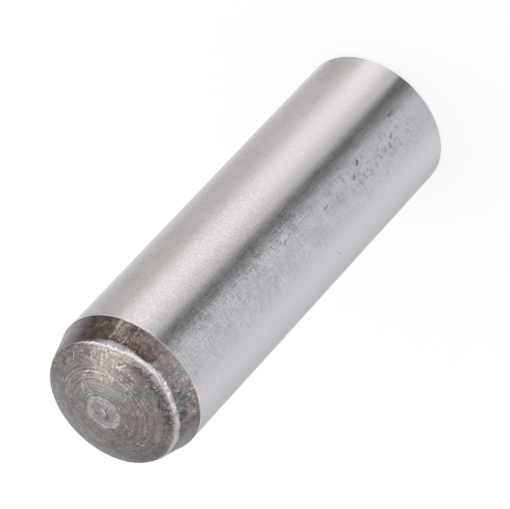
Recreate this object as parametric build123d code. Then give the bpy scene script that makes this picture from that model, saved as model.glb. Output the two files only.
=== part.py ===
from build123d import *
import math
import os

# A hardened and ground steel dowel pin in one piece, turned from bar.
# It stands on its plain end, with the crowned lead end up.
# Sizes are in millimetres. The axis is Z, and the plain end lies on Z = 0.

# Shank: the ground length that is pressed into the hole
pin_diameter = 10.0
pin_length = 32.0

# Plain end: flat, with its sharp edge broken
edge_break = 0.2

# Lead end: a shallow cone that starts the pin in its hole, and a worn, rounded rim
lead_length = 2.0
lead_angle = 15.0
rim_radius = 0.65

# Crown: the domed end face, with a small flat spot at the middle
crown_radius = 10.0
spot_diameter = 2.5

# Turning rings: shallow grooves that the tool's round nose left in the crown
ring_pitch = 0.42
ring_depth = 0.03
tool_nose_radius = 0.25

# Sizes worked out from those above
pin_radius = pin_diameter / 2
spot_radius = spot_diameter / 2
rim_corner_radius = pin_radius - lead_length * math.tan(math.radians(lead_angle))
crown_centre_height = pin_length - math.sqrt(crown_radius**2 - spot_radius**2)


def crown_height(radius):
    """Height of the domed face at a distance from the axis."""
    return crown_centre_height + math.sqrt(crown_radius**2 - radius**2)


rim_corner_height = crown_height(rim_corner_radius)
lead_edge_height = rim_corner_height - lead_length


def half_section():
    """Half of the pin's section, on the positive X side of its axis."""
    crown_middle_radius = (spot_radius + rim_corner_radius) / 2
    spot_edge = (spot_radius, pin_length)
    crown_middle = (crown_middle_radius, crown_height(crown_middle_radius))
    rim_corner = (rim_corner_radius, rim_corner_height)
    with BuildSketch(Plane.XZ) as section:
        with BuildLine():
            Polyline(
                spot_edge,
                (0, pin_length),
                (0, 0),
                (pin_radius - edge_break, 0),
                (pin_radius, edge_break),
                (pin_radius, lead_edge_height),
                rim_corner,
            )
            ThreePointArc(spot_edge, crown_middle, rim_corner)
        make_face()
        corner = section.vertices().sort_by_distance((rim_corner_radius, 0, rim_corner_height))[0]
        fillet(corner, radius=rim_radius)
    return section.sketch


def ring_radii():
    """Distance from the axis of each turning ring, from the spot out to the rim."""
    first_ring = spot_radius + ring_pitch / 2
    last_ring = rim_corner_radius - rim_radius
    count = int((last_ring - first_ring) / ring_pitch) + 1
    return [first_ring + number * ring_pitch for number in range(count)]


def tool_noses():
    """The round nose of the tool, drawn at each place where it left a ring in the crown."""
    nose_centre_reach = crown_radius + tool_nose_radius - ring_depth
    with BuildSketch(Plane.XZ) as noses:
        for radius in ring_radii():
            lean = math.asin(radius / crown_radius)
            across = nose_centre_reach * math.sin(lean)
            up = crown_centre_height + nose_centre_reach * math.cos(lean)
            with Locations((across, up)):
                Circle(tool_nose_radius)
    return noses.sketch


def dowel_pin():
    """The finished pin: its section, with the rings cut into the crown, turned about the axis."""
    return revolve(half_section() - tool_noses(), axis=Axis.Z)


os.makedirs("parts", exist_ok=True)
pin = dowel_pin()
export_step(pin, "parts/dowel_pin.step")

print("shank", pin_diameter, "mm across, ground from", edge_break, "to", round(lead_edge_height, 3), "mm")
print("rim corner at radius", round(rim_corner_radius, 3), "and height", round(rim_corner_height, 3))
print("turning rings at", [round(radius, 2) for radius in ring_radii()])
print("overall height", round(pin.bounding_box().size.Z, 3), "mm")
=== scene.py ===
# %% [markdown]
# # A hardened and ground dowel pin
# A dowel pin is a plain steel cylinder that locates two drilled parts on each other. This one
# was turned from bar, hardened, and ground only along its shank. So it wears two skins: bright
# satin steel along the shank, and a dark heat-treated skin on the chamfered, crowned end. The
# lesson builds the pin as one dense turned mesh, gives each part of it a finish, and lights it
# the way a small shiny cylinder is lit on a bench.
#
# Everything here is in metres, in the frame that the loader gives: the pin stands on its plain
# end at the origin, and its axis is Z. Sizes of the pin itself are written in millimetres.

# %% Open the frame
import math

import bpy
import numpy as np
from mathutils import Matrix, Vector, noise


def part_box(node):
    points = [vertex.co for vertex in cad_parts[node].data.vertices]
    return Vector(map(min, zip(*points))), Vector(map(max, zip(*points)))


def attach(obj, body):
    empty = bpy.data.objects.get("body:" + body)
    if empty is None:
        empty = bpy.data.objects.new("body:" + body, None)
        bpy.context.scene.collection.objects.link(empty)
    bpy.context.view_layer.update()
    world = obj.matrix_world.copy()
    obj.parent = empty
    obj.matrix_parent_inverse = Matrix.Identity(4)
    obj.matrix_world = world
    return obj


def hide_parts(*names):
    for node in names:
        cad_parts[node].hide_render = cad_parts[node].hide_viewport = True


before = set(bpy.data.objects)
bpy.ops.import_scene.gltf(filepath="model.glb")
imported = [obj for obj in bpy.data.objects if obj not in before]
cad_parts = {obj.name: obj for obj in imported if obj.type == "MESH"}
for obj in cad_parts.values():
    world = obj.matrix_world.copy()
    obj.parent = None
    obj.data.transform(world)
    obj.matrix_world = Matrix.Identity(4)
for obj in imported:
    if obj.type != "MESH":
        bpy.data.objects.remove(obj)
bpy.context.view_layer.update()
MM = 0.001


def add_object(name, data):
    """A new object in the scene."""
    thing = bpy.data.objects.new(name, data)
    bpy.context.scene.collection.objects.link(thing)
    return thing


# %% [markdown]
# ## Where the sizes come from
# The outline of the frame gives the pin's diameter and length. The rest of the turned end is
# known from the trade: a lead chamfer of 15 degrees and about 2 mm, and an end face domed to a
# radius of about one diameter. The heights of the lead edge and of the rim follow from those.

# %% Sizes of the pin
pin_low, pin_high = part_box("dowel_pin")
pin_length = (pin_high[2] - pin_low[2]) / MM
pin_radius = min(-pin_low[0], pin_high[0], -pin_low[1], pin_high[1]) / MM
edge_break = 0.2
lead_length = 2.0
lead_slope = math.tan(math.radians(15.0))
crown_radius = 10.0
spot_radius = 1.25

corner_radius = pin_radius - lead_length * lead_slope
crown_centre = pin_length - math.sqrt(crown_radius**2 - spot_radius**2)


def crown_height(radius):
    """Height of the domed end face at a distance from the axis."""
    return crown_centre + np.sqrt(crown_radius**2 - np.asarray(radius, float) ** 2)


corner_height = float(crown_height(corner_radius))
lead_edge = corner_height - lead_length
print("lead edge at", round(lead_edge, 3), "mm, rim corner at", round(corner_height, 3), "mm")

# %% [markdown]
# ## Turn angles and noise
# A turned part is easiest to describe by its turn angle and its place along the profile. The
# turn is counted from the side that faces the camera. Noise that is read on a circle meets
# itself again after a full turn, so no seam shows, and it gives the same numbers on every run.

# %% Steps round the axis
steps_round = 468
turns = np.linspace(-math.pi, math.pi, steps_round, endpoint=False)
round_x = np.sin(turns)
round_y = -np.cos(turns)
seed_spacing = 17.3


def noise_on(x, y, z, grain, seed):
    """Smooth noise between about -1 and 1 at places in millimetres, with a grain in millimetres."""
    shape = np.broadcast(x, y, z).shape
    places = [np.broadcast_to(part, shape).ravel() / grain for part in (x, y, z)]
    values = [noise.noise(Vector((a, b, c + seed_spacing * seed))) for a, b, c in zip(*places)]
    return np.array(values).reshape(shape) * 1.6


def smooth_step(value, low, high):
    """0 below low, 1 above high, and a soft step between them."""
    share = np.clip((np.asarray(value, float) - low) / (high - low), 0, 1)
    return share * share * (3 - 2 * share)


def round_the_pin(stations, soften=15):
    """A smooth closed curve through (turn in degrees, value) stations, read at every turn."""
    degrees = np.array([turn for turn, value in stations])
    values = np.array([value for turn, value in stations])
    raw = np.interp(np.degrees(turns), degrees, values, period=360)
    kernel = np.hanning(2 * soften + 1)
    kernel /= kernel.sum()
    wrapped = np.concatenate([raw[-soften:], raw, raw[:soften]])
    return np.convolve(wrapped, kernel, mode="valid")


print(steps_round, "steps round the pin,", round(2 * math.pi * pin_radius / steps_round, 3), "mm each")

# %% [markdown]
# ## The worn rim
# Where the chamfer meets the crown, years of handling have hammered the corner into a bright,
# ragged bevel. It is wide on the side that faces the camera and thin elsewhere. The bevel is
# given by how far it bites into the chamfer and into the crown, as two ragged curves round the
# pin. The mesh runs its rows along those curves, so the edge is real geometry and the bright
# finish stops exactly on it.

# %% The bite of the worn rim
chamfer_bite = round_the_pin([
    (-180, 0.20), (-120, 0.22), (-80, 0.34), (-62, 0.42), (-45, 0.42), (-33, 0.45),
    (-22, 0.53), (-5, 0.60), (5, 0.45), (15, 0.50), (25, 0.50), (35, 0.44), (45, 0.34),
    (54, 0.22), (66, 0.12), (100, 0.16), (140, 0.20),
])
crown_bite = round_the_pin([
    (-180, 0.10), (-100, 0.10), (-65, 0.12), (-35, 0.11), (-10, 0.13), (12, 0.13),
    (30, 0.15), (46, 0.14), (64, 0.09), (90, 0.07), (130, 0.10),
])
rim_x = corner_radius * round_x
rim_y = corner_radius * round_y
ragged_coarse = noise_on(rim_x, rim_y, 0.0, 0.55, 1)
ragged_fine = noise_on(rim_x, rim_y, 0.0, 0.16, 2)
chamfer_bite = np.maximum(chamfer_bite * (1 + 0.10 * ragged_coarse + 0.05 * ragged_fine), 0.04)
torn = 0.5 * noise_on(rim_x, rim_y, 5.0, 0.5, 3) + noise_on(rim_x, rim_y, 9.0, 0.17, 4)
torn_deep = round_the_pin([(-180, 0.25), (-80, 0.35), (-45, 0.7), (30, 0.7), (60, 0.35), (120, 0.25)])
crown_bite = np.maximum(crown_bite * (1 + torn_deep * torn), 0.03)
print("rim bevel", round(float(chamfer_bite.min()), 2), "to", round(float(chamfer_bite.max()), 2), "mm")

# %% [markdown]
# ## Rows of the profile
# The section is walked from the middle of the plain end, up the shank, over the chamfer, the
# worn bevel and the crown, and in to the middle of the spot. Each stretch is a block of rows
# with one point for every turn. Rows are close together only where there is relief to carry.

# %% Rows from the plain end to the middle of the crown
ones = np.ones(steps_round)


def line_rows(start, end, count):
    """Rows of (radius, height) on a straight stretch of the section, without its end."""
    shares = np.linspace(0, 1, count, endpoint=False)
    return [(start[0] + (end[0] - start[0]) * s, start[1] + (end[1] - start[1]) * s) for s in shares]


def chamfer_place(distance):
    """A point on the chamfer, a distance below the rim's sharp corner along the axis."""
    return corner_radius + distance * lead_slope, corner_height - distance


def bevel_rows(low, high, count, bulge=0.35):
    """Rows over the worn bevel, which bulges a little towards the corner that was there."""
    corner = (corner_radius * ones, corner_height * ones)
    middle = [bulge * c + (1 - bulge) * (a + b) / 2 for a, b, c in zip(low, high, corner)]
    rows = []
    for s in np.linspace(0, 1, count, endpoint=False):
        weights = ((1 - s) ** 2, 2 * s * (1 - s), s**2)
        rows.append(tuple(weights[0] * a + weights[1] * m + weights[2] * b
                          for a, m, b in zip(low, middle, high)))
    return rows


foot_rim = (pin_radius - edge_break, 0.0)
foot_edge = (pin_radius, edge_break)
lead_corner = (pin_radius, lead_edge)
bevel_low = chamfer_place(chamfer_bite)
bevel_high = (corner_radius - crown_bite, crown_height(corner_radius - crown_bite))

stretches = {
    "foot": line_rows((0.02, 0.0), foot_rim, 8),
    "edge_break": line_rows(foot_rim, foot_edge, 2),
    "shank": line_rows(foot_edge, lead_corner, 80),
    "chamfer": line_rows(lead_corner, bevel_low, 26),
    "bevel": bevel_rows(bevel_low, bevel_high, 8),
    "crown": [],
}
crown_steps = 62
for step in range(crown_steps + 1):
    radius = bevel_high[0] + (spot_radius - bevel_high[0]) * step / crown_steps
    stretches["crown"].append((radius, crown_height(radius)))
spot_steps = 22
stretches["spot"] = [(spot_radius * (1 - step / spot_steps), pin_length)
                     for step in range(1, spot_steps)]
print({name: len(rows) for name, rows in stretches.items()}, "rows")

# %% [markdown]
# ## Relief: turning rings, dents and scratches
# The lathe left rings in the crown: many faint ones at the feed of the tool, and a few deep
# ones where it paused. Handling left dents in the bevel, a scaly skin on the chamfer and short
# scratches. All of it only takes metal away, so the mesh stays inside the frame's box. Each
# relief is a depth in millimetres for every point of the rows.

# %% Depth of the relief
deep_rings = [
    (1.44, 0.008), (1.70, 0.003), (2.10, 0.003), (2.50, 0.004), (2.68, 0.006), (2.96, 0.010),
    (3.14, 0.007), (3.50, 0.005), (3.90, 0.003),
]
ring_half_width = 0.055
feed_pitch = 0.21
feed_depth = 0.0008


def ring_relief(radius, x, y):
    """Turning rings: a fine feed pattern and a few deeper rings that fade in and out."""
    wander = 0.012 * noise_on(x, y, 0.0, 3.0, 11)
    depth = feed_depth * (0.5 + 0.5 * np.sin(2 * math.pi * (radius + wander) / feed_pitch))
    for number, (place, deep) in enumerate(deep_rings):
        fade = 0.6 + 0.5 * noise_on(x, y, 3.0 * number, 1.6, 12)
        depth = depth + deep * fade * np.exp(-(((radius + wander - place) / ring_half_width) ** 2))
    return depth


def spot_relief(radius, x, y):
    """The middle: a shallow pan with a lumpy nib left at the centre."""
    bent = radius + 0.1 * noise_on(x, y, 0.0, 0.6, 17)
    pan = 0.012 * smooth_step(bent, 1.2, 1.0)
    nib = -0.008 * smooth_step(radius, 0.34, 0.12)
    lumps = 0.012 * noise_on(x, y, 0.0, 0.28, 13) + 0.005 * noise_on(x, y, 0.0, 0.13, 14)
    return pan + nib + lumps * smooth_step(radius, spot_radius, 1.05) + 0.008


def dents(x, y, z, grain, deep, seed):
    """Soft dents of one grain: the low half of a noise."""
    return deep * np.clip(0.5 + 0.5 * noise_on(x, y, z, grain, seed), 0, 1)


print(len(deep_rings), "deep rings on the crown")

# %% [markdown]
# ## Scratches
# Loose pins rub on each other in a bin, so the end carries short nicks that point anywhere.
# They are drawn from a seeded list: each is a line on the end face seen from above, and a
# point close to it is cut a little and rubbed bright. The places are bent by a noise first, so
# no nick comes out ruler-straight.

# %% Nicks on the end face
dice = np.random.default_rng(94)
nick_count = 130
nick_reach = 4.4
nick_half_width = 0.045


def nick_lines():
    """Start and end of every nick, as (x, y) pairs in millimetres on the end face."""
    lines = []
    for number in range(nick_count):
        reach = nick_reach * math.sqrt(dice.uniform(0.02, 1.0))
        turn = dice.uniform(-math.pi, math.pi)
        if number % 3 == 0:
            reach = dice.uniform(2.4, 4.3)
            turn = math.radians(dice.uniform(-15, 60))
        heading = dice.uniform(0, math.pi)
        half = dice.uniform(0.07, 0.2)
        middle = np.array([reach * math.sin(turn), -reach * math.cos(turn)])
        along = half * np.array([math.cos(heading), math.sin(heading)])
        lines.append((middle - along, middle + along))
    return lines


def nick_mask(x, y):
    """1 on a nick, falling to 0 at its half width. The places are bent a little first."""
    mask = np.zeros(np.shape(x))
    bend = 0.07 * noise_on(x, y, 40.0, 0.3, 15)
    x, y = x + bend, y + 0.07 * noise_on(x, y, 60.0, 0.3, 16)
    for start, end in nicks:
        span = end - start
        share = np.clip(((x - start[0]) * span[0] + (y - start[1]) * span[1]) / span.dot(span), 0, 1)
        gap = np.hypot(x - start[0] - share * span[0], y - start[1] - share * span[1])
        strength = 0.4 + 0.6 * math.sin(37.0 * start[0] + 11.0 * start[1]) ** 2
        mask = np.maximum(mask, strength * smooth_step(gap, nick_half_width, 0.2 * nick_half_width))
    return mask


nicks = nick_lines()
print(len(nicks), "nicks")

# %% [markdown]
# ## Building the mesh
# Every row becomes a ring of vertices, and neighbouring rings are joined by quads. The relief
# is taken off along the surface normal of the section. Two masks are written beside the
# geometry as mesh attributes, for the finishes to read: `up_the_rim` runs from 0 to 1 over the
# worn bevel, and `nicked` is 1 in a scratch.

# %% Turn the rows into a mesh
row_names = [name for name, rows in stretches.items() for _ in rows]
radii = np.array([row[0] * ones for rows in stretches.values() for row in rows])
heights = np.array([row[1] * ones for rows in stretches.values() for row in rows])
points_x = radii * round_x
points_y = radii * round_y


def rows_of(name):
    """A slice over the rows of a stretch."""
    first = row_names.index(name)
    return slice(first, first + row_names.count(name))


depth = np.zeros(radii.shape)
up_the_rim = np.zeros(radii.shape)
nicked = np.zeros(radii.shape)


def here(rows):
    """The places of some rows."""
    return points_x[rows], points_y[rows], heights[rows]


crown = rows_of("crown")
spot = rows_of("spot")
bevel = rows_of("bevel")
chamfer = rows_of("chamfer")
x, y, z = here(crown)
depth[crown] += ring_relief(radii[crown], x, y)
depth[crown] += dents(x, y, z, 0.6, 0.004, 21) + dents(x, y, z, 0.2, 0.002, 26)
nicked[crown] = nick_mask(x, y)
x, y, z = here(spot)
depth[spot] += spot_relief(radii[spot], x, y)
nicked[spot] = nick_mask(x, y)
x, y, z = here(bevel)
up_the_rim[bevel] = np.linspace(0, 1, bevel.stop - bevel.start, endpoint=False)[:, None] * ones
up_the_rim[crown.start] = 1.0
depth[bevel] += dents(x, y, z, 0.2, 0.024, 22) * (0.2 + 0.8 * up_the_rim[bevel])
depth[bevel] += dents(x, y, z, 0.6, 0.028, 23)
x, y, z = here(chamfer)
inside_chamfer = smooth_step(z, lead_edge, lead_edge + 0.12)
depth[chamfer] += inside_chamfer * (dents(x, y, z, 0.35, 0.014, 24) + dents(x, y, z, 1.1, 0.02, 25))
depth[crown] += 0.006 * nicked[crown]
depth[spot] += 0.004 * nicked[spot]
depth = np.maximum(depth, 0.0)
print("deepest relief", round(float(depth.max()), 3), "mm")


# %% Section normals and faces
def section_normals():
    """Outward normals of the section, as (radial, axial) parts for every point."""
    along_r = np.gradient(radii, axis=0)
    along_z = np.gradient(heights, axis=0)
    size = np.hypot(along_r, along_z)
    return along_z / size, -along_r / size


normal_r, normal_z = section_normals()
final_r = radii - depth * normal_r
final_z = heights - depth * normal_z
final_z[rows_of("foot")] = 0.0
row_count = len(row_names)
vertices = np.stack([final_r * round_x, final_r * round_y, final_z], axis=-1).reshape(-1, 3) * MM
bottom_middle = len(vertices)
top_middle = bottom_middle + 1
top_height = float(final_z[-1].mean())
vertices = np.vstack([vertices, [[0, 0, 0], [0, 0, top_height * MM]]])


def pin_faces():
    """Quads between the rings, and a fan of triangles at each end."""
    faces = []
    for row in range(row_count - 1):
        low = row * steps_round
        high = low + steps_round
        for step in range(steps_round):
            after = (step + 1) % steps_round
            faces.append((low + step, low + after, high + after, high + step))
    last = (row_count - 1) * steps_round
    for step in range(steps_round):
        after = (step + 1) % steps_round
        faces.append((after, step, bottom_middle))
        faces.append((last + step, last + after, top_middle))
    return faces


mesh = bpy.data.meshes.new("dowel_pin")
mesh.from_pydata(vertices.tolist(), [], pin_faces())
mesh.update()
mesh.shade_smooth()
for name, values in (("up_the_rim", up_the_rim), ("nicked", nicked)):
    attribute = mesh.attributes.new(name, "FLOAT", "POINT")
    middle_values = [0.0, float(values[-1].mean())]
    attribute.data.foreach_set("value", np.append(values.ravel(), middle_values))
print(len(mesh.vertices), "vertices,", sum(len(face.vertices) - 2 for face in mesh.polygons), "triangles")

# %% [markdown]
# ## Sharp rings
# Smooth shading would smear the light over a true edge. Every mesh edge that has both ends on
# a row at the foot or at the lead edge is marked sharp.

# %% Mark the sharp rings
sharp_rows = {rows_of(name).start for name in ("edge_break", "shank", "chamfer")}
ends = np.empty(len(mesh.edges) * 2, dtype=int)
mesh.edges.foreach_get("vertices", ends)
end_rows = ends.reshape(-1, 2) // steps_round
is_sharp = (end_rows[:, 0] == end_rows[:, 1]) & np.isin(end_rows[:, 0], list(sharp_rows))
sharp = mesh.attributes.new("sharp_edge", "BOOLEAN", "EDGE")
sharp.data.foreach_set("value", is_sharp)
print(int(is_sharp.sum()), "sharp edges")

# %% [markdown]
# ## Writing shader maths as Python
# A procedural finish is arithmetic on places of the surface. Wiring Math nodes one by one hides
# that arithmetic, so a small class stands for one output socket and turns Python's operators
# into nodes. `1 - mask` works too, because the reflected forms are there. Every other node
# comes from one method that takes its type, its settings and what goes into its sockets.
# Another small class holds a colour on which further ones are laid.

# %% Classes for sockets, finishes and layers
class Wire:
    """One output socket of a node, on which Python's arithmetic adds Math nodes."""

    def __init__(self, finish, socket):
        self.finish = finish
        self.socket = socket

    def math(self, operation, *values):
        return self.finish.node("ShaderNodeMath", {"operation": operation}, dict(enumerate(values)))

    def __add__(self, other):
        return self.math("ADD", self, other)

    def __radd__(self, other):
        return self.math("ADD", other, self)

    def __sub__(self, other):
        return self.math("SUBTRACT", self, other)

    def __rsub__(self, other):
        return self.math("SUBTRACT", other, self)

    def __mul__(self, other):
        return self.math("MULTIPLY", self, other)

    def __rmul__(self, other):
        return self.math("MULTIPLY", other, self)

    def __truediv__(self, other):
        return self.math("DIVIDE", self, other)

    def __pow__(self, other):
        return self.math("POWER", self, other)

    def step(self, low, high):
        """A soft step: 0 at low, 1 at high."""
        sockets = {"Value": self, "From Min": low, "From Max": high}
        return self.finish.node("ShaderNodeMapRange", {"interpolation_type": "SMOOTHSTEP"}, sockets)

    def window(self, low, rise, fall, high):
        """0 outside low and high, 1 between rise and fall."""
        return self.step(low, rise) * (1 - self.step(fall, high))

    def line(self, middle, half_width):
        """1 where the value is the middle one, 0 beyond the half width."""
        return self.window(middle - half_width, middle, middle, middle + half_width)


class Finish:
    """A node tree that is being filled in."""

    def __init__(self, tree):
        self.tree = tree
        tree.nodes.clear()

    def node(self, kind, settings=None, sockets=None, output=0):
        """Add a node, set it up, feed its sockets and hand back an output. A tuple is a colour."""
        node = self.tree.nodes.new(kind)
        for name, value in (settings or {}).items():
            setattr(node, name, value)
        for key, value in (sockets or {}).items():
            if isinstance(value, Wire):
                self.tree.links.new(value.socket, node.inputs[key])
            else:
                node.inputs[key].default_value = (*value, 1) if isinstance(value, tuple) else value
        return Wire(self, node.outputs[output]) if node.outputs else None

    def mix(self, share, first, second):
        """A blend of two colours."""
        sockets = {0: share, 6: first, 7: second}
        return self.node("ShaderNodeMix", {"data_type": "RGBA"}, sockets, 2)

    def vector(self, x, y, z):
        return self.node("ShaderNodeCombineXYZ", None, {0: x, 1: y, 2: z})

    def glow(self, colour, strength):
        return self.node("ShaderNodeEmission", None, {"Color": colour, "Strength": strength})

    def cover(self, surface):
        self.node("ShaderNodeOutputMaterial", None, {"Surface": surface})

    def noise(self, place, detail=2.0, roughness=0.5):
        sockets = {"Vector": place, "Scale": 1.0, "Detail": detail, "Roughness": roughness}
        return self.node("ShaderNodeTexNoise", None, sockets)


class Layers:
    """A colour that further colours are laid on, each by its share."""

    def __init__(self, finish, colour):
        self.finish = finish
        self.colour = colour

    def lay(self, share, colour):
        self.colour = self.finish.mix(share, self.colour, colour)


def new_material(name):
    """A material with an empty tree, and the finish that fills it."""
    material = bpy.data.materials.new(name)
    material.use_nodes = True
    return material, Finish(material.node_tree)


def metal(finish, layers, rough, height, bump_depth, grain=None):
    """A metal surface with a colour, a roughness and a bump of some depth, joined to the output."""
    bump = {"Strength": 1.0, "Distance": bump_depth * MM, "Height": height}
    relief = finish.node("ShaderNodeBump", None, bump)
    sockets = {"Base Color": layers.colour, "Metallic": 1.0, "Roughness": rough, "Normal": relief}
    surface = finish.node("ShaderNodeBsdfPrincipled", None, sockets | (grain or {}))
    finish.cover(surface)


print("shader helpers ready")

# %% [markdown]
# ## Places on the pin
# Every finish asks how high a point is, how far from the axis, and which way round. The answers
# are in millimetres. The grain of a turned or ground surface runs round the axis, so `turned`
# reads noise at places that are squeezed across the grain and stretched along it.

# %% Where a point lies
class Place:
    """Coordinates of the shaded point, in millimetres. The radius is never quite zero."""

    def __init__(self, finish):
        self.finish = finish
        point = finish.node("ShaderNodeTexCoord", output=3)
        split = finish.node("ShaderNodeSeparateXYZ", None, {0: point}).socket.node
        self.x, self.y, self.z = (Wire(finish, split.outputs[n]) * 1000 for n in range(3))
        self.radius = (self.x * self.x + self.y * self.y) ** 0.5 + 0.001
        self.side = self.x / self.radius
        self.away = self.y / self.radius
        self.turn = self.x.math("ARCTAN2", self.x, 0 - self.y) * (180 / math.pi)

    def around(self, low, rise, fall, high):
        """A soft window on the turn: 0 outside low and high, 1 between rise and fall."""
        return self.turn.window(low, rise, fall, high)

    def turned(self, across, along, fine, seed, detail=2.0):
        """Noise with its grain round the axis: `along` and `fine` are the grain's length and width."""
        reach = pin_radius / along
        place = self.finish.vector(self.side * reach, self.away * reach, across / fine + seed)
        return self.finish.noise(place, detail)

    def streaks(self, wide, long, seed, detail=2.0):
        """Noise with its grain along the axis."""
        return self.turned(self.z, wide, long, seed, detail)

    def lumps(self, grain, seed, detail=2.0, roughness=0.5):
        """Noise with the same grain every way."""
        place = self.finish.vector(self.x / grain, self.y / grain, self.z / grain + seed)
        return self.finish.noise(place, detail, roughness)


print("places ready")

# %% [markdown]
# ## Ground steel
# A grinding wheel leaves fine lines round the shank. They are too fine to see one by one, but
# they spread every reflection along the axis and keep it sharp across it, which is why the
# pin shows bands of light from end to end. The shader does the same with a strong anisotropy
# turned by a quarter, and a little real grain is added to colour, roughness and bump. The side
# that faces the camera has been rubbed on something hard: it is mottled and pitted there, with
# fine scuffs along the axis. The larger marks are ragged lines, each given by the turn and the
# height of its two ends.

# %% Marks on the shank
shank_marks = [
    ((-4, 2.9), (-4.5, 3.3), 0.12, 0.5), ((-10.2, 7.85), (-11.8, 8.05), 0.16, 0.8),
    ((-15, 4.2), (-16.5, 4.4), 0.14, 0.5), ((-19.4, 4.75), (-21, 4.9), 0.14, 0.5),
    ((-16, 8.85), (-17.5, 9.0), 0.13, 0.6), ((-16.5, 12.1), (-17, 12.5), 0.12, 0.4),
    ((-11.5, 16.6), (-13, 16.8), 0.11, 0.5), ((-49, 13.0), (-54, 12.6), 0.05, 0.4),
    ((-7, 8.6), (-13, 17.8), 0.07, 0.16), ((-13, 17.8), (-16, 24.0), 0.06, 0.1),
    ((46, 28.81), (55, 28.75), 0.055, 0.35),
]


def gap_to_line(across, up, start, end):
    """Distance of a point from a straight line, all in millimetres."""
    step_across, step_up = end[0] - start[0], end[1] - start[1]
    size = step_across**2 + step_up**2
    across, up = across - start[0], up - start[1]
    share = across * (step_across / size) + up * (step_up / size)
    share = share.math("MINIMUM", share.math("MAXIMUM", share, 0.0), 1.0)
    gap_across = across - share * step_across
    gap_up = up - share * step_up
    return (gap_across * gap_across + gap_up * gap_up) ** 0.5


def marks_on(across, up, marks, ragged):
    """How strongly a point is marked: each mark is a line, a half width and a strength."""
    total = 0.0
    for start, end, half_width, strength in marks:
        gap = gap_to_line(across, up, start, end) + ragged
        here = (1 - gap.step(0.35 * half_width, half_width)) * strength
        total = here.math("MAXIMUM", total, here)
    return total


def side_marks_on(place, marks, base, ragged):
    """The same for marks on the side of the pin, given by turn and by height above a base."""
    degree = pin_radius * math.pi / 180
    flat = [((a * degree, b + base), (c * degree, d + base), width, strength)
            for (a, b), (c, d), width, strength in marks]
    return marks_on(place.turn * degree, place.z, flat, ragged)


print(len(shank_marks), "marks on the shank")


# %% The finish of the shank
def ground_steel():
    material, finish = new_material("ground_steel")
    place = Place(finish)
    grain = place.turned(place.z, 0.55, 0.07, 3.0)
    sand = place.lumps(0.14, 4.0)
    blotches = place.lumps(0.6, 5.0, 3.0, 0.6)
    scuffs = place.streaks(0.12, 1.6, 6.0)
    rubbed = place.around(-38, -32, 3, 12)
    coarse = place.z.step(12, 18) * place.around(-12, -4, 38, 48)
    tone = (grain - 0.5) * 0.3 + (sand - 0.5) * (coarse * 0.6 + 0.2) + 0.5
    worst = rubbed * (place.around(-26, -8, 2, 10) * place.z.window(12, 17, 26, 34) * 0.7 + 0.62)
    tone = tone + worst * ((blotches - 0.5) * 0.4 + (scuffs - 0.5) * 0.5 + (sand - 0.5) * 0.7)
    tone = tone + worst * ((grain - 0.5) * 0.7 + 0.02)
    clouds = place.lumps(1.3, 61.0) - 0.5
    tone = tone + clouds * rubbed * place.z.window(4, 9, 24, 29) * 0.55
    tone = tone + (scuffs - 0.5) * place.around(-12, -7, 6, 10) * 0.65
    tone = tone + ((sand - 0.5) * 0.5 + clouds * 0.35) * place.around(38, 46, 64, 78)
    colour = Layers(finish, finish.mix(tone.step(0.0, 1.0), (0.37, 0.357, 0.378), (0.64, 0.618, 0.645)))
    # Painted reflection: a warm tint, broken up by the blotches, stands in for the warm band that the shank
    # reflects at these turns.
    warm_reflection_tint = place.around(36, 46, 60, 74) * blotches.step(0.3, 0.7)
    colour.lay(warm_reflection_tint * 0.35, (0.56, 0.52, 0.52))
    dots = place.turned(place.z, 0.3, 0.14, 7.0).step(0.66, 0.72) * worst * 0.4
    # Painted reflection: a cool bluish tint low down beside the dark line, the tint of what the shank
    # reflects there.
    cool = place.around(-34, -28, -12, -4) * (1 - place.z.step(8, 16))
    colour.lay(cool * 0.35, (0.49, 0.495, 0.56))
    stain = place.lumps(0.4, 41.0, 3.0, 0.65).step(0.48, 0.66) * place.around(-30, -24, -12, -5)
    colour.lay(stain * place.z.window(1.5, 3, 10, 14) * 0.45, (0.2, 0.195, 0.22))
    strokes = place.turned(place.z, 0.28, 0.11, 91.0, 1.0).step(0.62, 0.74)
    strokes = strokes * place.around(-14, -9, -1, 3) * place.z.window(12, 14, 18.5, 21) * 0.7
    dots = dots.math("MAXIMUM", dots, strokes)
    shade = place.around(34, 44, 56, 68) * place.z.step(8, 26)
    shade = shade + place.around(44, 52, 64, 78) * (1 - place.z.step(1.5, 5))
    colour.lay(shade * 0.25, (0.36, 0.335, 0.335))
    pits = side_marks_on(place, shank_marks, 0.0, (sand - 0.5) * 0.12)
    colour.lay(pits.math("MAXIMUM", pits, dots), (0.1, 0.1, 0.125))
    # Painted glints: light ticks in the bright bands and light sparks in the coarse zone stand in for grains
    # that catch the light.
    ticks = place.turned(place.z, 0.3, 0.09, 12.0).step(0.66, 0.76) * place.around(6, 14, 30, 62)
    colour.lay(ticks * 0.6, (0.86, 0.85, 0.85))
    sparks = place.lumps(0.13, 51.0).step(0.66, 0.74) * coarse
    colour.lay(sparks * 0.7, (0.88, 0.84, 0.82))
    # Painted highlight: a light, blotchy line just below the lead edge, where the edge catches the light.
    lead_edge_highlight = place.z.step(lead_edge - 0.16, lead_edge - 0.04) * blotches.step(0.35, 0.65)
    colour.lay(lead_edge_highlight * 0.5, (0.8, 0.775, 0.77))
    rough = (grain - 0.5) * 0.05 + 0.36
    height = grain * 0.35 + sand * 0.4 - pits * 2.0
    metal(finish, colour, rough, height, 0.003, {"Anisotropic": 0.97, "Anisotropic Rotation": 0.25})
    return material


ground = ground_steel()
print("finish", ground.name)

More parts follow.
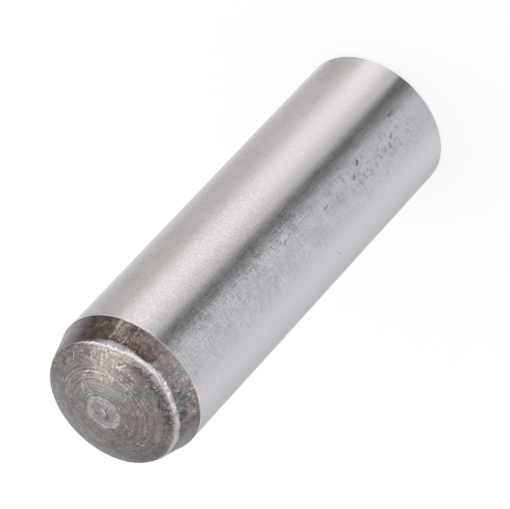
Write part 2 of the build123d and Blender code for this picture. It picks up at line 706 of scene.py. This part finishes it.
# %% [markdown]
# ## The dark chamfer
# Heat treatment left a thin brown-grey skin on the turned end, which the grinder never touched.
# On the chamfer it lies in soft brown and grey blotches, blued in places, with a little haze
# and dark wisps further round. It is ticked with short bright lines along the axis and flaked
# off here and there. The skin is still metal, only darker and duller, so the shader stays
# metallic and changes its colour and roughness.

# %% The finish of the chamfer
flakes = [
    ((35.6, 0.2), (35.8, 0.5), 0.26, 0.7), ((34.8, 0.8), (34.2, 1.0), 0.17, 0.45),
    ((35.8, 1.1), (36.5, 1.35), 0.12, 0.35), ((-34.5, 0.1), (-36, 0.8), 0.05, 0.6),
    ((-4.5, 0.75), (-6.5, 0.7), 0.12, 0.8), ((-3.0, 1.2), (-4.5, 1.35), 0.1, 0.7),
    ((-46, 0.7), (-49, 0.55), 0.09, 0.25), ((48, 0.5), (49, 0.7), 0.12, 0.3),
    ((31.0, 0.3), (31.5, 0.9), 0.36, 0.32), ((-11.0, 0.5), (-13.0, 0.3), 0.1, 0.6),
]


def chamfer_skin():
    material, finish = new_material("chamfer_skin")
    place = Place(finish)
    rise = place.z - lead_edge
    wide = place.lumps(0.8, 1.0)
    narrow = place.streaks(0.14, 0.6, 2.0)
    mottle = place.lumps(0.34, 3.0, 3.0, 0.55)
    crumbs = place.lumps(0.12, 9.0)
    flecks = place.streaks(0.17, 0.28, 4.0, 1.0)
    hue = place.lumps(0.6, 21.0)
    # Painted light and shade: the skin is painted lighter near the camera's side and darker further round, a
    # little darker towards the rim, and darker again in a painted shadow just under the bevel.
    painted_light_side = place.around(-40, -26, -8, 10)
    painted_dark_side = place.around(-4, 50, 61, 77) + place.around(-76, -68, -60, -50) * 0.3
    tone = (wide - 0.5) * 0.4 + (mottle - 0.5) + (crumbs - 0.5) * 0.28 + 0.45
    tone = tone + (narrow - 0.5) * (place.around(-64, -52, 40, 54) * 0.22 + 0.08)
    tone = tone + painted_light_side * 0.26 - painted_dark_side * 0.34 - rise.step(0.8, 1.6) * 0.14
    tone = tone - rise.step(1.15, 1.55) * place.around(-20, -4, 60, 72) * 0.2
    tone = tone + (1 - rise.step(0.6, 1.0)) * place.around(-34, -20, 6, 22) * 0.18
    tone = tone - rise.step(0.8, 1.2) * place.around(-58, -48, -32, -18) * 0.26
    brown = finish.mix(tone.step(0.0, 1.0), (0.069, 0.045, 0.039), (0.326, 0.272, 0.256))
    drab = finish.mix(tone.step(0.0, 1.0), (0.07, 0.063, 0.066), (0.3, 0.284, 0.296))
    drab_share = hue.step(0.38, 0.62) * (1 - place.around(-14, 0, 54, 70) * 0.85)
    skin = Layers(finish, finish.mix(drab_share, brown, drab))
    calm = place.around(30, 40, 64, 76)
    haze = (place.lumps(0.42, 33.0, 3.0) * 0.6 + place.streaks(0.2, 0.7, 35.0) * 0.4).step(0.44, 0.62)
    skin.lay(haze * calm * 0.4, (0.17, 0.158, 0.152))
    wisps = (place.streaks(0.3, 0.8, 31.0, 3.0) * 0.4 + place.lumps(0.5, 37.0) * 0.6).step(0.45, 0.62)
    skin.lay(wisps * calm * 0.65, (0.034, 0.028, 0.026))
    # Painted reflection: a lavender sheen on both limbs, where the cone is seen edge-on.
    skin.lay(place.side.step(0.84, 1.0) * 0.5, (0.262, 0.252, 0.278))
    skin.lay(place.side.step(-0.84, -1.0) * 0.4, (0.26, 0.25, 0.265))
    rust = place.lumps(0.26, 43.0).step(0.52, 0.66) * place.around(-70, -56, 24, 38)
    skin.lay(rust * 0.36, (0.19, 0.125, 0.1))
    blued = place.around(-27, -19, -15, -8) * rise.window(0.2, 0.7, 1.1, 1.5)
    blued = blued + place.around(-47, -41, -37, -30) * rise.window(0.7, 1.1, 1.5, 1.8)
    skin.lay(blued * (mottle + hue * 0.5).step(0.45, 0.9) * 0.85, (0.16, 0.164, 0.186))
    near_edge = place.around(-56, -46, -8, 6) * (1 - rise.step(0.3, 0.9))
    chipped = flecks + (crumbs - 0.5) * 0.3
    chipped = chipped.step(0.57, 0.66) * (near_edge * 0.5 + place.around(-66, -46, 24, 44) * 0.32)
    skin.lay(chipped, (0.5, 0.46, 0.45))
    ticks = place.streaks(0.08, 0.2, 14.0, 1.0).step(0.63, 0.71) * place.around(-60, -46, 26, 40)
    skin.lay(ticks * (place.around(-30, -20, 0, 10) * 0.35 + 0.55), (0.58, 0.545, 0.535))
    flaked = side_marks_on(place, flakes, lead_edge, (narrow - 0.5) * 0.35 + (crumbs - 0.5) * 0.3)
    skin.lay(flaked * crumbs.step(0.25, 0.6), (0.43, 0.435, 0.41))
    rubbed_edge = (1 - (rise + (mottle - 0.5) * 0.12).step(0.02, 0.07)) * place.around(-70, -50, 30, 40)
    skin.lay(rubbed_edge * 0.6, (0.6, 0.575, 0.57))
    rough = (mottle - 0.5) * 0.2 + 0.42
    metal(finish, skin, rough, crumbs + flecks * 0.5, 0.004)
    return material


dark_chamfer = chamfer_skin()
print("finish", dark_chamfer.name)

# %% [markdown]
# ## Bare steel on the rim
# Where the corner was beaten and rubbed, bare steel shows, and a bright crest runs along the
# bevel. The crest is worn metal painted with a highlight: its near-white colour stands in for
# the light that the rounded edge catches. To the left of the camera's side the crest is broad
# and broken, and it lies in the middle of the bevel. To the right it climbs towards the crown
# and thins to a clean line, with a smooth grey band under it and worn beige metal over it, and
# a painted shadow darkens the lower bevel between turns of about 40 and 70 degrees. Further
# round, hardly any of the dark skin is lost.

# %% The finish of the rim
def worn_rim():
    material, finish = new_material("worn_rim")
    place = Place(finish)
    up = finish.node("ShaderNodeAttribute", {"attribute_name": "up_the_rim"}, None, 2)
    crush = place.lumps(0.3, 3.0, 3.0, 0.6)
    fine = place.lumps(0.1, 4.0)
    beaten = place.around(-125, -92, 40, 72)
    hammered = place.around(-50, -30, -12, 2)
    ragged = (place.lumps(0.9, 6.0) - 0.5) * 0.7 + (crush - 0.5) * 0.5 + (fine - 0.5) * 0.2
    rounded = place.turn.step(-14, 2)
    speckled = (fine * 0.4 + crush * 0.6).step(0.42, 0.6)
    middle = 0.42 - place.turn.step(-20, -6) * 0.14 + place.turn.step(-4, 34) * 0.36
    middle = middle - place.turn.step(42, 52) * 0.12
    along = up + ragged * 0.6 + (fine - 0.5) * (0.3 - rounded * 0.2) - middle
    thin = place.turn.step(4, 22)
    narrow = along * (1 - place.turn.step(38, 52) * 0.4)
    # The crest: worn bare metal with a painted highlight along it.
    broad_crest = along.window(-0.36, -0.16, 0.06, 0.24)
    thin_crest = narrow.window(-0.2, -0.06, 0.06, 0.17)
    crest = broad_crest * (1 - thin) + thin_crest * thin
    crest = crest * (place.around(-96, -10, 48, 60) + place.around(48, 60, 80, 92) * 0.3)
    crest = crest * (1 - place.around(-74, -62, -48, -38) * 0.7 - place.around(-4, 4, 12, 20) * 0.22)
    patches = place.lumps(0.5, 8.0).step(0.34, 0.6)
    crest = crest * (patches * (0.4 - rounded * 0.2) + 0.6 + rounded * 0.2)
    crest = crest * (speckled * (0.8 - rounded * 0.55) + 0.28 + rounded * 0.47)
    lost = (up + ragged * 0.7).step(0.8, 0.95) * place.around(-100, -80, -4, 12)
    under_broad = (up + ragged * 0.3).step(-0.1, 0.12)
    under_thin = (up + ragged * 0.4).step(-0.2, 0.32)
    under = (under_broad * (1 - rounded) + under_thin * rounded) * beaten
    dull = finish.mix(crush.step(0.2, 0.8), (0.09, 0.076, 0.072), (0.19, 0.172, 0.168))
    tone = up * (rounded * 0.3 + 0.1) + ragged * 0.8 + (fine - 0.5) * 0.6 + hammered * 0.2
    tone = tone + rounded * 0.06 + place.around(-110, -85, -68, -58) * 0.12 + 0.2
    grey = finish.mix(tone.step(0.0, 0.8), (0.28, 0.27, 0.28), (0.56, 0.547, 0.563))
    white = finish.mix(crush.step(0.35, 0.6) + rounded * 0.6, (0.56, 0.55, 0.547), (0.98, 0.975, 0.97))
    colour = Layers(finish, finish.mix(crest, finish.mix(under, dull, grey), white))
    tan = finish.mix((crush * 0.5 + fine * 0.5).step(0.38, 0.58), (0.1, 0.084, 0.077), (0.4, 0.368, 0.345))
    beige = finish.mix(crush.step(0.3, 0.6), (0.36, 0.32, 0.285), (0.56, 0.505, 0.455))
    above = along.step(0.14, 0.32) * beaten * 0.85
    colour.lay(above, finish.mix(place.turn.step(4, 24), tan, beige))
    colour.lay(lost * 0.8, (0.2, 0.176, 0.17))
    shade = place.around(36, 47, 62, 74) * (1 - (up + ragged * 0.3).step(0.3, 0.6))
    colour.lay(shade * 0.7, (0.062, 0.058, 0.056))
    rough = (fine - 0.5) * 0.2 + 0.32
    metal(finish, colour, rough, fine, 0.006)
    return material


bright_rim = worn_rim()
print("finish", bright_rim.name)

# %% [markdown]
# ## The crown
# The end face keeps the rings of the lathe tool. The dark skin is rubbed thin on the crests
# between the deep rings of the mesh, and each crest carries a broken light line, a painted
# glint that is stronger on one side. The spot in the middle is paler, with a few cracks and a
# dark groove round it. One side of the face is worn to a warm beige with a painted highlight on
# it, and on the other a dark crust is left just inside the rim. The face is also painted
# lighter towards the camera and darker further round, with a painted lavender reflection near
# its far edge.

# %% The finish of the crown
ring_lines = [
    (1.08, 0.15, 0.25), (1.38, 0.05, 0.55), (1.62, 0.035, 0.2), (2.05, 0.06, 0.2), (2.42, 0.045, 0.3),
    (2.60, 0.04, 0.35), (2.80, 0.06, 0.48), (3.02, 0.05, 0.42), (3.24, 0.035, 0.25), (3.6, 0.03, 0.2),
]
centre_cracks = [
    ((-0.37, 0.16), (-0.29, -0.06), 0.1, 1.0), ((-0.06, -0.25), (-0.01, -0.45), 0.09, 0.9),
    ((-0.66, 0.42), (-0.3, 0.24), 0.07, 0.55), ((-0.2, 0.5), (-0.32, 0.12), 0.06, 0.4),
    ((0.3, 0.5), (0.05, 0.2), 0.06, 0.5), ((0.35, -0.24), (0.8, -0.32), 0.06, 0.5),
]
rubs = [
    ((0.92, -3.85), (1.22, -3.35), 0.075, 0.9), ((0.95, -3.3), (1.05, -3.6), 0.05, 0.7),
    ((1.95, -2.65), (2.4, -3.15), 0.05, 0.7), ((2.05, -2.85), (2.2, -2.6), 0.045, 0.6),
    ((1.5, -3.2), (1.75, -3.75), 0.045, 0.5), ((2.75, -2.3), (2.95, -2.75), 0.045, 0.5),
    ((3.45, -1.05), (3.75, -1.4), 0.05, 0.5), ((1.8, -0.2), (2.1, -0.5), 0.045, 0.6),
    ((-0.25, 0.1), (0.18, -0.2), 0.09, 0.5), ((0.3, -0.52), (0.75, -0.4), 0.06, 0.5),
    ((1.25, -0.75), (1.45, -0.6), 0.05, 0.6), ((-1.0, 1.9), (-1.25, 2.6), 0.06, 0.3),
    ((-0.5, 0.93), (-0.85, 0.77), 0.05, 0.6), ((-0.99, 0.43), (-1.13, -0.2), 0.05, 0.5),
    ((0.1, -0.47), (-0.1, -0.37), 0.05, 0.7),
]


def ring_glints(place):
    """Painted glints on the crests of the rings, as a strength."""
    return sum(place.radius.line(radius, half_width) * strength
               for radius, half_width, strength in ring_lines)


def crown_skin():
    material, finish = new_material("crown_skin")
    place = Place(finish)
    nick_here = finish.node("ShaderNodeAttribute", {"attribute_name": "nicked"}, None, 2)
    mottle = place.lumps(0.5, 2.0, 3.0, 0.6)
    sand = place.lumps(0.11, 5.0)
    lines = place.turned(place.radius, 1.0, 0.06, 8.0)
    broken = place.turned(place.radius, 1.6, 0.5, 3.0)
    wander = place.lumps(0.42, 11.0)
    hue = place.lumps(0.7, 21.0)
    bands = place.turned(place.radius, 3.5, 0.16, 81.0, 3.0)
    tone = (mottle - 0.5) + (sand - 0.5) * 0.5 + (lines - 0.5) * 0.7 + (bands - 0.5) * 0.9 + 0.5
    # Painted light and shade: the face is painted darker on the far side and at turns 44 to 80, lighter near
    # the rim at turns -84 to -12, and lighter towards the camera's side between the spot and the rim.
    tone = tone - place.around(-170, -130, -88, -64) * place.radius.step(1.6, 2.4) * 0.14
    tone = tone + place.around(-84, -70, -30, -12) * place.radius.step(2.5, 3.1) * 0.12
    tone = tone - place.around(44, 54, 68, 80) * place.radius.step(1.8, 2.3) * 0.16
    towards = place.around(-50, -10, 60, 95)
    tone = tone + place.radius.window(1.2, 1.5, 2.2, 3.2) * (towards * 0.13 + 0.07)
    brown = finish.mix(tone.step(0.0, 1.0), (0.114, 0.089, 0.086), (0.27, 0.232, 0.228))
    drab = finish.mix(tone.step(0.0, 1.0), (0.104, 0.098, 0.094), (0.25, 0.241, 0.232))
    skin = Layers(finish, finish.mix(hue.step(0.36, 0.64), brown, drab))
    # Painted reflection: a lavender sheen towards the far edge of the face.
    painted_far_reflection = place.away.step(0.1, 0.9) * place.radius.step(2.4, 4.0)
    skin.lay(painted_far_reflection * (place.side * 0.35 + 0.42), (0.262, 0.254, 0.296))
    chunks = place.lumps(0.2, 16.0, 3.0, 0.6)
    bent = place.radius + (place.lumps(0.45, 19.0) - 0.5) * 0.5 + (chunks - 0.5) * 0.5
    in_spot = 1 - bent.step(1.12, 1.3)
    paler = (place.lumps(0.24, 15.0) * 0.6 + mottle * 0.4).step(0.25, 0.6)
    # Part of the spot's pale share is painted light as well, lighter towards the camera's side.
    pale_share = bent.window(0.56, 0.86, 1.25, 1.6) * (chunks.step(0.42, 0.56) * 0.34 + 0.04) + paler * 0.3
    pale_share = pale_share + (1 - bent.step(0.16, 0.34)) * 0.35 + towards * 0.16 + (sand - 0.5) * 0.7 + 0.1
    skin.lay(in_spot * pale_share, (0.386, 0.383, 0.385))
    dark_chunks = place.lumps(0.17, 18.0).step(0.55, 0.66) * in_spot * (1.25 - place.radius)
    skin.lay(dark_chunks * 0.3, (0.095, 0.08, 0.076))
    spots = place.lumps(0.2, 91.0).step(0.62, 0.72) * (1 - in_spot)
    skin.lay(spots * 0.5, (0.1, 0.078, 0.07))
    cracks = marks_on(place.x, place.y, centre_cracks, (sand - 0.5) * 0.12)
    cracks = cracks + place.lumps(0.36, 23.0).line(0.5, 0.025) * (1 - place.radius.step(0.8, 1.15)) * 0.6
    ringed = place.around(-60, -20, 95, 130) * 0.7 + 0.3
    groove = (place.radius.line(1.28, 0.06) * 0.55 + place.radius.line(1.48, 0.07) * 0.4) * ringed + cracks
    worn_rings = place.radius.line(2.3, 0.12) + place.radius.line(2.92, 0.06)
    groove = groove + worn_rings * mottle.step(0.3, 0.6) * 0.35
    skin.lay(groove.math("MINIMUM", groove, 1.0) * 0.85, (0.07, 0.056, 0.054))
    # The warm beige is partly worn metal and partly a painted highlight on the near side of the dome.
    beige = place.around(4, 26, 36, 53) * place.radius.window(1.2, 3.2, 4.2, 4.5)
    skin.lay(beige * mottle.step(0.25, 0.55) * 0.4, (0.38, 0.32, 0.274))
    second = place.lumps(0.3, 31.0)
    crust = place.around(-72, -54, 4, 14) * (place.radius + (mottle - 0.5) * 1.3).step(3.9, 4.05)
    crust = crust * (second * 0.5 + sand * 0.5).step(0.38, 0.5)
    skin.lay(crust * 0.85, (0.066, 0.049, 0.047))
    dark_curls = wander.line(0.56, 0.02) + second.line(0.5, 0.025) * (beige * 0.5 + 0.5)
    dark_curls = dark_curls * (place.radius.step(1.6, 2.2) * 0.5 + (1 - place.radius.step(0.8, 1.0)) * 0.35)
    skin.lay(dark_curls, (0.09, 0.072, 0.066))
    # Painted glints: the light lines on the ring crests, stronger on one side, and the light curls and
    # specks. The bright nicks, the torn edge and the rubs added to them are real wear.
    glints_and_wear = ring_glints(place) * (broken * 0.7 + mottle * 0.3).step(0.36, 0.6) * sand.step(0.15, 0.6)
    glints_and_wear = glints_and_wear * (place.around(10, 40, 130, 170) * 0.35 + 0.65)
    curls = (wander.line(0.43, 0.025) + second.line(0.58, 0.03)) * (place.radius.step(1.5, 2.1) + in_spot)
    curls = curls * (beige * 0.32 + broken.step(0.45, 0.6) * 0.3)
    specks = sand.step(0.64, 0.74) * (beige * 0.2 + 0.25)
    spikes = place.streaks(0.15, 4.0, 61.0)
    edge = place.radius + (wander - 0.5) * 0.5 + (spikes - 0.5) * 1.2
    torn_side = place.around(6, 24, 36, 50) + place.around(-96, -80, -20, -6) * second.step(0.42, 0.58) * 0.7
    edge = edge.step(4.2, 4.34) * torn_side * 0.55
    bent_x = place.x + (wander - 0.5) * 0.4
    bent_y = place.y + (mottle - 0.5) * 0.4
    strokes = marks_on(bent_x, bent_y, rubs, (sand - 0.5) * 0.1)
    glints_and_wear = glints_and_wear + nick_here * sand.step(0.2, 0.6) * 0.4 + curls + specks + edge + strokes * 0.66
    skin.lay(glints_and_wear.math("MINIMUM", glints_and_wear, 1.0), (0.6, 0.575, 0.555))
    rough = (mottle - 0.5) * 0.16 + 0.44
    metal(finish, skin, rough, sand + lines * 0.5, 0.006)
    return material


turned_crown = crown_skin()
print("finish", turned_crown.name)

# %% [markdown]
# ## The finished piece
# The mesh gets the finishes of the shank, the chamfer, the rim and the crown. It rides on the
# part's only body and stands for the frame's plain solid.

# %% Place the pin
for finish_here in (ground, dark_chamfer, bright_rim, turned_crown):
    mesh.materials.append(finish_here)
face_rows = np.repeat(np.arange(row_count - 1), steps_round)
slots = sum((face_rows >= rows_of(name).start).astype(int) for name in ("chamfer", "bevel", "crown"))
fan_slots = np.tile([0, 3], steps_round)
mesh.polygons.foreach_set("material_index", np.concatenate([slots, fan_slots]))
pin = add_object("dowel_pin_body", mesh)
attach(pin, "root")
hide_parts("dowel_pin")
print("placed", pin.name)

# %% [markdown]
# ## Floor
# The pin stands on a plain pale floor. Its white comes from the floor's own colour as the
# camera and shiny things see it. A part of its shade still comes from the lamps, and that part
# carries the pin's shadow.

# %% Floor and world
floor_half = 3.0
direct_white = 0.8
ambient = 0.88
floor_mesh = bpy.data.meshes.new("floor")
corners = [(x * floor_half, y * floor_half, 0) for x, y in ((-1, -1), (1, -1), (1, 1), (-1, 1))]
floor_mesh.from_pydata(corners, [], [(0, 1, 2, 3)])
floor = add_object("floor", floor_mesh)


def seen_directly(finish):
    """1 for camera, glossy and transmission rays, 0 for the rest."""
    path = finish.node("ShaderNodeLightPath").socket.node
    camera, glossy, through = (Wire(finish, path.outputs[name]) for name in
                               ("Is Camera Ray", "Is Glossy Ray", "Is Transmission Ray"))
    return (camera + glossy + through).step(0.0, 1.0)


def pale_floor():
    material, finish = new_material("pale_floor")
    lit = finish.node("ShaderNodeBsdfDiffuse", None, {"Color": (0.95, 0.95, 0.95)})
    white = finish.glow((1, 1, 1), 1.0)
    share = seen_directly(finish) * direct_white
    surface = finish.node("ShaderNodeMixShader", None, {0: share, 1: lit, 2: white})
    finish.cover(surface)
    return material


floor_mesh.materials.append(pale_floor())
world = bpy.data.worlds.new("studio")
world.use_nodes = True
bpy.context.scene.world = world
sky = Finish(world.node_tree)
strength = seen_directly(sky) * (1.0 - ambient) + ambient
backdrop = sky.node("ShaderNodeBackground", None, {"Color": (1, 1, 1), "Strength": strength})
sky.node("ShaderNodeOutputWorld", None, {"Surface": backdrop})
print("floor and world ready")

# %% [markdown]
# ## Lamps and a reflector
# A shiny cylinder shows its surroundings as bands. Seen from above, its side mirrors the table
# round its foot. A photographer lays cards there: a dark one towards the lens draws the dark
# line down the pin, and lighter ones beside it draw the bright bands. Here one sheet round the
# foot does the work of all the cards, and only reflections see it. Each point of it is painted
# for the strip of the shank that mirrors it to the camera. Close to the foot the width of the
# pin counts, so the strip is found in a few rounds of a short formula. Two soft boxes give the
# light from above.

# %% Soft boxes
look_at = Vector((0, 0, 0.6 * pin_length * MM))
box_distance = 0.5
box_size = 0.3


def soft_box(name, turn, elevation, radiance, colour):
    """A square lamp facing the pin, placed by its turn from the camera side and its elevation."""
    lamp = bpy.data.lights.new(name, "AREA")
    lamp.size = box_size
    lamp.energy = radiance * math.pi * box_size**2
    lamp.color = colour
    turn, elevation = math.radians(turn), math.radians(elevation)
    flat = math.cos(elevation)
    away = Vector((flat * math.sin(turn), -flat * math.cos(turn), math.sin(elevation)))
    box = add_object(name, lamp)
    box.location = look_at + box_distance * away
    box.rotation_euler = (-away).to_track_quat("-Z", "Y").to_euler()


soft_box("key_box", 140, 60, 1.5, (1.0, 0.98, 0.97))
soft_box("front_box", 40, 70, 0.8, (1.0, 0.98, 0.96))
print("lamps ready")

# %% The reflector round the foot
mirror_rounds = 3
reflector_level = 1.08
reflector_peak = 2.2
reflector_bands = [
    (-12.4, 3.8, 6.4, 11.5, -1.02),
    (12, 26, 31, 43, 0.9),
    (-65, -51, -43, -29, 0.31),
    (-96, -87, -71.5, -57.5, -0.2),
    (47, 53, 61, 68, -0.16),
    (65, 76, 77, 91, 0.32),
]


def mirrored_turn(place):
    """The turn of the strip of the shank in which the camera sees this point of the floor."""
    here = place.turn * (math.pi / 180)
    strip = here * 0.5
    for _ in range(mirror_rounds):
        lean = strip.math("SINE", strip) * pin_radius / place.radius
        strip = (here + lean.math("ARCSINE", lean)) * 0.5
    return strip * (180 / math.pi)


def reflector_finish(name):
    """Emission between black and the peak, by the angle round the pin."""
    material, finish = new_material(name)
    place = Place(finish)
    strip = mirrored_turn(place)
    level = reflector_level
    for low, rise, fall, high, change in reflector_bands:
        level = level + strip.window(low, rise, fall, high) * change
    black = finish.glow((1, 1, 1), 0.0)
    cool = finish.glow((0.99, 0.99, 1), reflector_peak)
    warm = finish.glow((1, 0.965, 0.92), reflector_peak)
    on_right = strip.window(6, 23, 61, 76)
    bright = finish.node("ShaderNodeMixShader", None, {0: on_right, 1: cool, 2: warm})
    share = level * (1 / reflector_peak)
    surface = finish.node("ShaderNodeMixShader", None, {0: share, 1: black, 2: bright})
    finish.cover(surface)
    return material


def floor_reflector(name):
    """A flat ring on the floor round the pin, which only glossy rays see."""
    near, far, lift, sides = 5.06 * MM, 400 * MM, 0.05 * MM, 120
    points = []
    for number in range(sides):
        angle = 2 * math.pi * number / sides
        for reach in (near, far):
            points.append((reach * math.sin(angle), -reach * math.cos(angle), lift))
    total = len(points)
    faces = [(2 * n, 2 * n + 1, (2 * n + 3) % total, (2 * n + 2) % total) for n in range(sides)]
    sheet_mesh = bpy.data.meshes.new(name)
    sheet_mesh.from_pydata(points, [], faces)
    sheet_mesh.materials.append(reflector_finish(name))
    sheet = add_object(name, sheet_mesh)
    sheet.visible_camera = False
    sheet.visible_diffuse = False
    sheet.visible_shadow = False
    sheet.visible_transmission = False
    return sheet


print("stage piece", floor_reflector("floor_reflector").name)

# %% [markdown]
# ## Camera
# The photograph was taken with a long lens from well above the crowned end, and the picture is
# turned so that the crowned end points down and to the left. The camera is given by its place,
# its tilt and its roll about the line of sight.

# %% Camera
camera_data = bpy.data.cameras.new("camera")
camera_data.sensor_fit = "HORIZONTAL"
camera_data.sensor_width = 36.0
camera_data.lens = 360.0
camera_data.clip_start = 0.01
camera = add_object("camera", camera_data)
camera_tilt = math.radians(90 - 40.322)
camera_roll = math.radians(-137.045)
camera_place = Vector((-0.206, -239.882, 218.474)) * MM
camera.matrix_world = (Matrix.Translation(camera_place) @ Matrix.Rotation(camera_tilt, 4, "X")
                       @ Matrix.Rotation(camera_roll, 4, "Z"))
bpy.context.scene.camera = camera
bpy.context.scene.view_settings.view_transform = "Standard"
print("camera at", [round(value / MM, 1) for value in camera_place], "mm")
